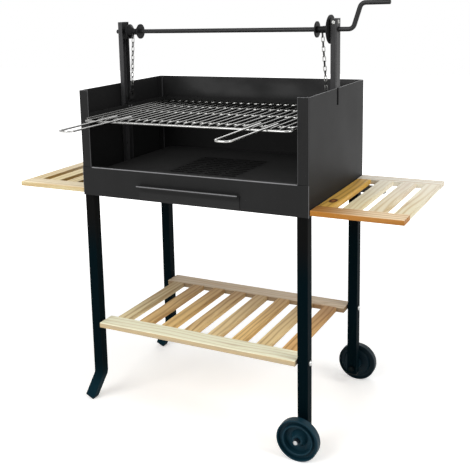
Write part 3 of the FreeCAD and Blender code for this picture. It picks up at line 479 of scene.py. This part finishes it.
finishes = {
    "wall": paint("firebox paint", "#191919", "#353536", rough=0.56, spec=0.1, paintedHighlight=wallHighlights,
                  darkening=wallShade, paintedLight=wallPaintedLight),
    "inside": paint("inner plate paint", "#181818", "#2e2e2e", rough=0.65, spec=0.1),
    "plate": paint("charcoal plate paint", "#171717", "#2b2b2b", rough=0.65, spec=0.1,
                   darkening=plateSlotsDarker, darkTone="#060606"),
    "ash": paint("ash tray paint", "#080808", "#151515", rough=0.75, spec=0.04),
    "drawer": paint("drawer paint", "#1a1a1a", "#323233", rough=0.52, spec=0.14, paintedHighlight=drawerLipHighlight,
                    darkening=drawerLipShadow),
    "post": paint("upright paint", "#2e2e2f", "#585859", rough=0.45, spec=0.2, paintedHighlight=postHighlights,
                  darkening=postShade),
    "reel": paint("reel paint", "#131314", "#29292a", rough=0.45, spec=0.1),
    "crank": paint("crank paint", "#19191a", "#353536", rough=0.34, spec=0.2),
    "leg": paint("leg paint", "#000b10", "#03191f", rough=0.62, spec=0.02, mottle=0.25,
                 fade=legSpec["blackTop"], paintedLight=footHaze, paintedLightTone="#12303b"),
    # one chrome in two copies: the bars' darker copy is painted shade, the frame's paler copy a painted
    # highlight, its underside painted shade
    "chrome": bright("chromed bars", "#676765", rough=0.2, smear=0.12, dull=0.3),
    "chromeFrame": bright("chromed frame", "#a6a6a4", rough=0.16, smear=0.12, dull=0.25,
                          under=(0.7568, 0.7602, "#262626")),
    # one plating in two copies: the darker copy on the edge-on links is painted shade, and both take
    # painted shade below the firebox rim
    "chain": bright("chain plating", "#a8a8a5", rough=0.2, smear=0.16, dull=0.3,
                    under=(0.818, 0.842, "#2c2c2b")),
    "chainShaded": bright("shaded chain plating", "#3c3c3b", rough=0.3, smear=0.16, dull=0.3,
                        under=(0.818, 0.842, "#202020")),
    "zinc": bright("zinc plating", "#b4b5b3", rough=0.26, smear=0.18, dull=0.35),
    "nut": bright("nut plating", "#b9babb", rough=0.26, smear=0.18, dull=0.35,
                  blacked=(-0.1650, 0.3252, "#3f4a53")),
    "axle": bright("axle plating", "#b4b5b3", rough=0.3, smear=0.18, dull=0.35,
                   blacked=(-0.0935, 0.2540, "#101516")),
    "steel": bright("blackened steel", "#4d4d4e", rough=0.4, smear=0.2, dull=0.3),
    "cap": plastic("cap plastic", "#0a0c0c", "#191c1d", rough=0.5, spec=0.15),
    "wheel": plastic("wheel plastic", "#08202a", "#153845", rough=0.46, spec=0.12,
                     shade=(-0.05, 0.05, "#010a0f")),
    "spacer": plastic("spacer plastic", "#2e1b14", "#4b3026", rough=0.5, spec=0.3),
    # towards the back the slats take painted shade under the firebox
    "lowerSlat": wood("lower slat wood",
                      ("#f9e8b8", "#f4cf90", "#f6cf8a", "#f8d698",
                       "#fbdfa6", "#fbd38c", "#f4d9a0", "#e6b877"),
                      ("#9a6a34",), "y", lowerSlatOf, seed=1.3, knots=0.6, streaks=0.6,
                      backTone=(-0.05, 0.26, "#7e5f47", 0.66), shine=0.1),
    # the rear rail's darker tones are painted shade under the firebox; the paler tops are painted light
    "lowerRail": wood("lower rail wood", ("#bca989", "#8b765b"), ("#cfb384", "#75573a"), "x",
                      lowerRailOf, seed=5.2, knots=0.3, streaks=0.2,
                      top=(woodSpec["lowerTop"], ("#fffcdc", "#c3b096"))),
    # the left boards' darker sides and the inner right board's dark tone are painted shade; the left
    # boards' paler tops are painted light
    "shelfSlat": wood("shelf slat wood",
                      ("#a88238", "#a07a32", "#b08a42", "#b8934c",
                       "#dcae52", "#dfd3ad", "#dfd2b2", "#e2d8b8"),
                      ("#bfa16c", "#bfa16c", "#bfa16c", "#bfa16c",
                       "#7d531c", "#bfa16c", "#bfa16c", "#bfa16c"),
                      "y", shelfSlatOf, seed=2.2, knots=0.85, streaks=0.5,
                      top=(woodSpec["shelfTop"], ("#efd9a4", "#f6e3b2", "#f8e6b4", "#f4deb0",
                                                  "#dcae52", "#dfd3ad", "#dfd2b2", "#e2d8b8")),
                      backTone=(-0.05, 0.24, "#f6f2ea", 0.45), spared=innerBoard,
                      branches=((0.320, -0.014, 0.010),)),
    # the paler tops are painted light; the right front rail's darker part by the firebox is painted
    # shade
    "shelfRail": wood("shelf rail wood", ("#cebd92", "#e2d8bc", "#ae7534", "#e2dccb"),
                      ("#b98a4e", "#b98a4e", "#8a5a1c", "#b98a4e"), "x", shelfRailOf,
                      seed=7.7, knots=0.9, streaks=0.45,
                      top=(woodSpec["shelfTop"], ("#fdeecb", "#f6efd8", "#e8cfa8", "#ece8da")),
                      shadedEnd=(boxShade, "#a66c22")),
}
dress = {
    "wall": ["side_wall_left", "side_wall_right", "back_wall", "front_panel", "post_rivets"],
    "ash": ["floor_plate", "drawer_runners", "drawer_tray"],
    "plate": ["charcoal_plate"],
    "inside": ["bearing_left", "bearing_right", "carrier_frame", "chain_brackets", "guide_shoes",
               "block_rivets"],
    "drawer": ["drawer_front"],
    "post": ["post_left", "post_right", "cross_bar_front", "cross_bar_rear"],
    "reel": ["reel_left", "reel_right", "brake_disc"],
    "crank": ["crank_rod"],
    "leg": ["leg_front_left", "leg_front_right", "leg_rear_left", "leg_rear_right"],
    "chrome": ["grill_bars"],
    "chromeFrame": ["grill_frame", "cross_wires", "grill_handles"],
    "chain": ["chain_left", "chain_right"],
    "zinc": ["floor_bolts", "bar_nuts", "shelf_screws", "rail_bolts", "axle_washers", "block_screws"],
    "nut": ["axle_nuts"],
    "axle": ["axle_bolts"],
    "steel": ["reel_pins", "shaft_clip", "carrier_rivets"],
    "cap": ["leg_caps", "leg_plugs", "bar_caps"],
    "wheel": ["wheel_front", "wheel_rear"],
    "spacer": ["rail_spacers"],
    "lowerSlat": ["lower_slats"],
    "lowerRail": ["lower_rail_front", "lower_rail_rear"],
    "shelfSlat": ["shelf_slats_left", "shelf_slats_right"],
    "shelfRail": ["shelf_rail_front_left", "shelf_rail_front_right", "shelf_rail_rear_left",
                  "shelf_rail_rear_right"],
}
for finish, names in dress.items():
    for name in names:
        target = nodes[name]
        if not target.material_slots:
            target.data.materials.append(finishes[finish])
        for slot in target.material_slots:
            slot.material = finishes[finish]
print("finishes on", sum(len(v) for v in dress.values()), "nodes")


class Form:  # one Geometry Nodes tree with named inputs
    def __init__(self, name, sizes):
        self.tree = bpy.data.node_groups.new(name, "GeometryNodeTree")
        self.tree.interface.new_socket("Geometry", in_out="OUTPUT", socket_type="NodeSocketGeometry")
        self.sizes = sizes
        self.keys = {}
        for key, value in sizes.items():
            kind = "NodeSocketInt" if isinstance(value, int) else "NodeSocketFloat"
            kind = "NodeSocketVector" if isinstance(value, tuple) else kind
            item = self.tree.interface.new_socket(key, in_out="INPUT", socket_type=kind)
            self.keys[key] = item.identifier
        self.source = self.tree.nodes.new("NodeGroupInput")

    def node(self, kind, settings, values):  # a value is a socket, a named input or a number
        made = self.tree.nodes.new(kind)
        for key, value in settings.items():
            setattr(made, key, value)
        for key, value in values.items():
            socket = made.inputs[key]
            if isinstance(value, str):
                self.tree.links.new(self.source.outputs[value], socket)
            elif isinstance(value, bpy.types.NodeSocket):
                self.tree.links.new(value, socket)
            else:
                socket.default_value = value
        return made

    def finish(self, parts):  # each part is a geometry and its material
        joined = self.node("GeometryNodeJoinGeometry", {}, {})
        for geometry, material in parts:
            whole = self.node("GeometryNodeRealizeInstances", {}, {"Geometry": geometry})
            smooth = self.node("GeometryNodeSetShadeSmooth", {}, {"Geometry": whole.outputs[0]})
            coated = self.node("GeometryNodeSetMaterial", {}, {"Geometry": smooth.outputs[0],
                                                               "Material": material})
            self.tree.links.new(coated.outputs[0], joined.inputs[0])
        end = self.tree.nodes.new("NodeGroupOutput")
        self.tree.links.new(joined.outputs[0], end.inputs[0])

    def piece(self, name):  # the tree's result as a plain mesh
        host = bpy.data.objects.new(name + "Host", bpy.data.meshes.new(name + "Host"))
        scene.collection.objects.link(host)
        modifier = host.modifiers.new("form", "NODES")
        modifier.node_group = self.tree
        for key, value in self.sizes.items():
            modifier[self.keys[key]] = value
        bpy.context.view_layer.update()
        result = host.evaluated_get(bpy.context.evaluated_depsgraph_get())
        mesh = bpy.data.meshes.new_from_object(result)
        host.modifiers.remove(modifier)
        bpy.data.objects.remove(host)
        made = bpy.data.objects.new(name, mesh)
        scene.collection.objects.link(made)
        return made


# chains: round links from the pin on each reel to the bracket on the carrier, in millimetres
chainSpec = {"links": 14, "onCarrier": 2, "lift": 0.119, "wire": 2.3, "width": 8.7, "play": 0.4,
             "slack": 0.15, "reelX": (-254.5, 263.5), "lugX": (-272.0, 272.0), "pin": (190.0, 958.0),
             "pinRadius": 1.1, "hole": (200.5, 797.0, 3.5), "ringFaces": 20, "wireFaces": 10}


def chainTree(name, start, step, count, first, ways, sizes):
    # a row of oval links, each turned a quarter from the one before
    down, *across = ways
    length, width, wire = sizes
    form = Form(name, {"links": count, "start": tuple(start), "step": tuple(step),
                       "wire radius": wire / 2, "end radius": width / 2})
    ring = form.node("GeometryNodeCurvePrimitiveCircle", {}, {"Resolution": chainSpec["ringFaces"],
                                                              "Radius": "end radius"})
    spot = form.node("GeometryNodeInputPosition", {}, {})
    split = form.node("ShaderNodeSeparateXYZ", {}, {0: spot.outputs[0]})
    sign = form.node("ShaderNodeMath", {"operation": "SIGN"}, {0: split.outputs[0]})
    reach = form.node("ShaderNodeMath", {"operation": "MULTIPLY"}, {0: sign.outputs[0],
                                                                    1: (length - width) / 2})
    push = form.node("ShaderNodeCombineXYZ", {}, {0: reach.outputs[0]})
    oval = form.node("GeometryNodeSetPosition", {}, {"Geometry": ring.outputs[0],
                                                     "Offset": push.outputs[0]})
    section = form.node("GeometryNodeCurvePrimitiveCircle", {}, {"Resolution": chainSpec["wireFaces"],
                                                                 "Radius": "wire radius"})
    link = form.node("GeometryNodeCurveToMesh", {}, {"Curve": oval.outputs[0],
                                                     "Profile Curve": section.outputs[0]})
    row = form.node("GeometryNodeMeshLine", {}, {"Count": "links", "Start Location": "start",
                                                 "Offset": "step"})
    index = form.node("GeometryNodeInputIndex", {}, {})
    odd = form.node("ShaderNodeMath", {"operation": "MODULO"}, {0: index.outputs[0], 1: 2.0})
    parts = []
    for turn, wide in enumerate(across):
        flag = form.node("FunctionNodeCompare", {"data_type": "FLOAT", "operation": "EQUAL"},
                         {0: odd.outputs[0], 1: float((turn + first) % 2)})
        rotation = Matrix((down, wide, down.cross(wide))).transposed().to_euler()
        placed = form.node("GeometryNodeInstanceOnPoints", {},
                           {"Points": row.outputs[0], "Instance": link.outputs[0],
                            "Selection": flag.outputs[0], "Rotation": rotation})
        # the edge-on links take the darker copy of the plating: painted shade
        parts.append((placed.outputs[0], finishes["chain" if turn else "chainShaded"]))
    form.finish(parts)
    return form.piece(name)


def makeChain(side):
    c = chainSpec
    i = 0 if side == "left" else 1
    wire, width = c["wire"] / 1000, (c["width"] - c["wire"]) / 1000
    pin, play, slack = c["pinRadius"] / 1000, c["play"] / 1000, c["slack"] / 1000
    holeY, holeZ, holeRadius = c["hole"]
    start = place(c["reelX"][i], *c["pin"])
    stop = place(c["lugX"][i], holeY, holeZ + holeRadius - c["wire"] / 2 - c["play"])
    line = stop - start
    down = line.normalized()
    wideX = (Vector((1, 0, 0)) - down * down.x).normalized()
    wideY = down.cross(wideX)
    ways = (down, wideY, wideX)
    pitch = (line.length - wire / 2 + pin + play) / c["links"]
    first = start + down * (pitch / 2 - pin - play)
    sizes = (pitch + wire - slack, width, wire)
    upper = c["links"] - c["onCarrier"]
    top = chainTree("chainUpper_" + side, first, down * pitch, upper, 0, ways, sizes)
    low = chainTree("chainLower_" + side, first + down * pitch * upper, down * pitch, c["onCarrier"],
                    upper % 2, ways, sizes)
    shortens = start.z - (first + down * pitch * (upper - 0.5)).z
    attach(top, "stand")
    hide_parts("chain_" + side)
    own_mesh(top)
    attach(low, "carrier")


for side in ("left", "right"):
    makeChain(side)
print("chains made")

# screws and rivets, in millimetres: round heads, some with a cross recess of length, width, depth
headFaces = {"segments": 24, "rings": 12}
screwSpec = {
    "shelfScrews": {"stands for": "shelf_screws", "body": "stand", "slot": "zinc", "finish": "zinc",
                    "radius": 4.2, "height": 2.6, "recess": (5.0, 0.9, 1.3),
                    "spots": [((s * x, y, 555.0), (0, 0, -1))
                              for s in (-1, 1) for x in (319.0, 367.667) for y in (70.0, 330.0)]},
    "blockScrews": {"stands for": "block_screws", "body": "stand", "slot": "zinc", "finish": "zinc",
                    "radius": 5.0, "height": 2.6, "recess": (5.4, 1.1, 1.4),
                    "spots": [((290.8, 184.0, 981.0), (0, -1, 0)), ((298.5, 199.0, 982.0), (1, 0, 0))]},
    "blockRivets": {"stands for": "block_rivets", "body": "stand", "slot": "black_paint",
                    "finish": "inside", "radius": 4.2, "height": 1.5, "recess": None,
                    "spots": [((-298.5, y, 982.0), (-1, 0, 0)) for y in (192.0, 209.0)]},
    "carrierRivets": {"stands for": "carrier_rivets", "body": "carrier", "slot": "dark_steel",
                      "finish": "steel", "radius": 3.6, "height": 1.4, "recess": None,
                      "spots": [((s * 279.0, y, 766.08), (-s, 0, 0))
                                for s in (-1, 1) for y in (194.5, 206.5)]},
}


def makeHeads(name, spec):
    sizes = {"head radius": spec["radius"] / 1000, "head height": spec["height"] / 1000,
             "segments": headFaces["segments"]}
    for i, (at, _) in enumerate(spec["spots"]):
        sizes["spot %d" % (i + 1)] = tuple(place(*at))
    form = Form(name, sizes)
    ball = form.node("GeometryNodeMeshUVSphere", {}, {"Segments": "segments", "Radius": 1.0,
                                                      "Rings": headFaces["rings"]})
    shape = form.node("ShaderNodeCombineXYZ", {}, {0: "head radius", 1: "head radius",
                                                   2: "head height"})
    head = form.node("GeometryNodeTransform", {}, {"Geometry": ball.outputs[0],
                                                   "Scale": shape.outputs[0]})
    if spec["recess"]:
        length, wide, deep = [v / 1000 for v in spec["recess"]]
        lift = form.node("ShaderNodeCombineXYZ", {}, {2: "head height"})
        cutter = form.node("GeometryNodeJoinGeometry", {}, {})
        for size in ((length, wide, deep * 2), (wide, length, deep * 2)):
            bar = form.node("GeometryNodeMeshCube", {}, {"Size": size})
            raised = form.node("GeometryNodeTransform", {}, {"Geometry": bar.outputs[0],
                                                             "Translation": lift.outputs[0]})
            form.tree.links.new(raised.outputs[0], cutter.inputs[0])
        carved = form.node("GeometryNodeMeshBoolean", {"operation": "DIFFERENCE", "solver": "EXACT"},
                           {"Mesh 1": head.outputs[0], "Self Intersection": True})
        form.tree.links.new(cutter.outputs[0], carved.inputs["Mesh 2"])
        head = carved
    joined = form.node("GeometryNodeJoinGeometry", {}, {})
    for i, (_, way) in enumerate(spec["spots"]):
        turn = Vector((0, 0, 1)).rotation_difference(Vector(way)).to_euler()
        placed = form.node("GeometryNodeTransform", {}, {"Geometry": head.outputs[0], "Rotation": turn,
                                                         "Translation": "spot %d" % (i + 1)})
        form.tree.links.new(placed.outputs[0], joined.inputs[0])
    form.finish([(joined.outputs[0], finishes[spec["finish"]])])
    made = form.piece(name)
    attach(made, spec["body"])
    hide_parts(spec["stands for"])


for name, spec in screwSpec.items():
    makeHeads(name, spec)
print("screw and rivet heads made")

# floor, background and soft studio light; each lamp has its place, size and power
stageSpec = {"floor": "#f4f4f3", "half": 9.0, "background": (1.0, 1.0, 1.0, 1.0), "ambient": 0.45,
             "lift": 0.34, "farLift": 0.7, "far": (0.9, 2.4), "aim": (0, 200, 600),
             "lamps": (("key", (2900, -300, 2300), 1.6, 43.0), ("fill", (-700, -2500, 2000), 2.0, 56.0),
                       ("top", (0, 300, 3000), 2.4, 6.0), ("back", (-600, 2700, 1900), 2.0, 14.0))}


def showWhite(tree, lit, shown, output):  # one shader for the light, another for what is seen
    path = tree.nodes.new("ShaderNodeLightPath")
    seen = path.outputs["Is Camera Ray"]
    for ray in ("Is Glossy Ray", "Is Transmission Ray"):
        either = tree.nodes.new("ShaderNodeMath")
        either.operation = "MAXIMUM"
        tree.links.new(seen, either.inputs[0])
        tree.links.new(path.outputs[ray], either.inputs[1])
        seen = either.outputs[0]
    mixed = tree.nodes.new("ShaderNodeMixShader")
    tree.links.new(seen, mixed.inputs[0])
    tree.links.new(lit.outputs[0], mixed.inputs[1])
    tree.links.new(shown.outputs[0], mixed.inputs[2])
    tree.links.new(mixed.outputs[0], tree.nodes[output].inputs[0])


def makeFloor(spec):
    mesh = bpy.data.meshes.new("floor")
    half = spec["half"]
    corners = [(-half, -half, 0), (half, -half, 0), (half, half, 0), (-half, half, 0)]
    mesh.from_pydata(corners, [], [(0, 1, 2, 3)])
    floor = bpy.data.objects.new("floor", mesh)
    scene.collection.objects.link(floor)
    f = Finish("studio floor", Roughness=0.9, Specular_IOR_Level=0.0)
    cloud = f.noise(f.coords, 0.7, 2.0)
    f.colour(f.mix(cloud * 0.2, linear(spec["floor"]), linear("#ffffff")))
    # what is seen is lifted to white, more so far out, and keeps the shadow near the object
    glow = f.tree.nodes.new("ShaderNodeEmission")
    glow.inputs["Color"].default_value = spec["background"]
    far = f.step(f.length(f.coords), *spec["far"])
    f.feed(glow.inputs["Strength"], far * spec["farLift"] + spec["lift"])
    total = f.tree.nodes.new("ShaderNodeAddShader")
    f.tree.links.new(f.shader.outputs[0], total.inputs[0])
    f.tree.links.new(glow.outputs[0], total.inputs[1])
    showWhite(f.tree, f.shader, total, "Material Output")
    mesh.materials.append(f.material)


def makeLight(spec):
    world = bpy.data.worlds.new("studio")
    scene.world = world
    world.use_nodes = True
    base = world.node_tree.nodes["Background"]
    base.inputs["Color"].default_value = spec["background"]
    base.inputs["Strength"].default_value = spec["ambient"]
    seen = world.node_tree.nodes.new("ShaderNodeBackground")
    seen.inputs["Color"].default_value = spec["background"]
    seen.inputs["Strength"].default_value = 1.0
    showWhite(world.node_tree, base, seen, "World Output")
    for name, at, size, power in spec["lamps"]:
        data = bpy.data.lights.new(name, "AREA")
        data.shape = "DISK"
        data.size = size
        data.energy = power
        lamp = bpy.data.objects.new(name, data)
        spot = place(*at)
        aim = place(*spec["aim"]) - spot
        lamp.matrix_world = Matrix.Translation(spot) @ aim.to_track_quat("-Z", "Y").to_matrix().to_4x4()
        scene.collection.objects.link(lamp)


makeFloor(stageSpec)
makeLight(stageSpec)
scene.view_settings.view_transform = "Standard"
print("stage lit")
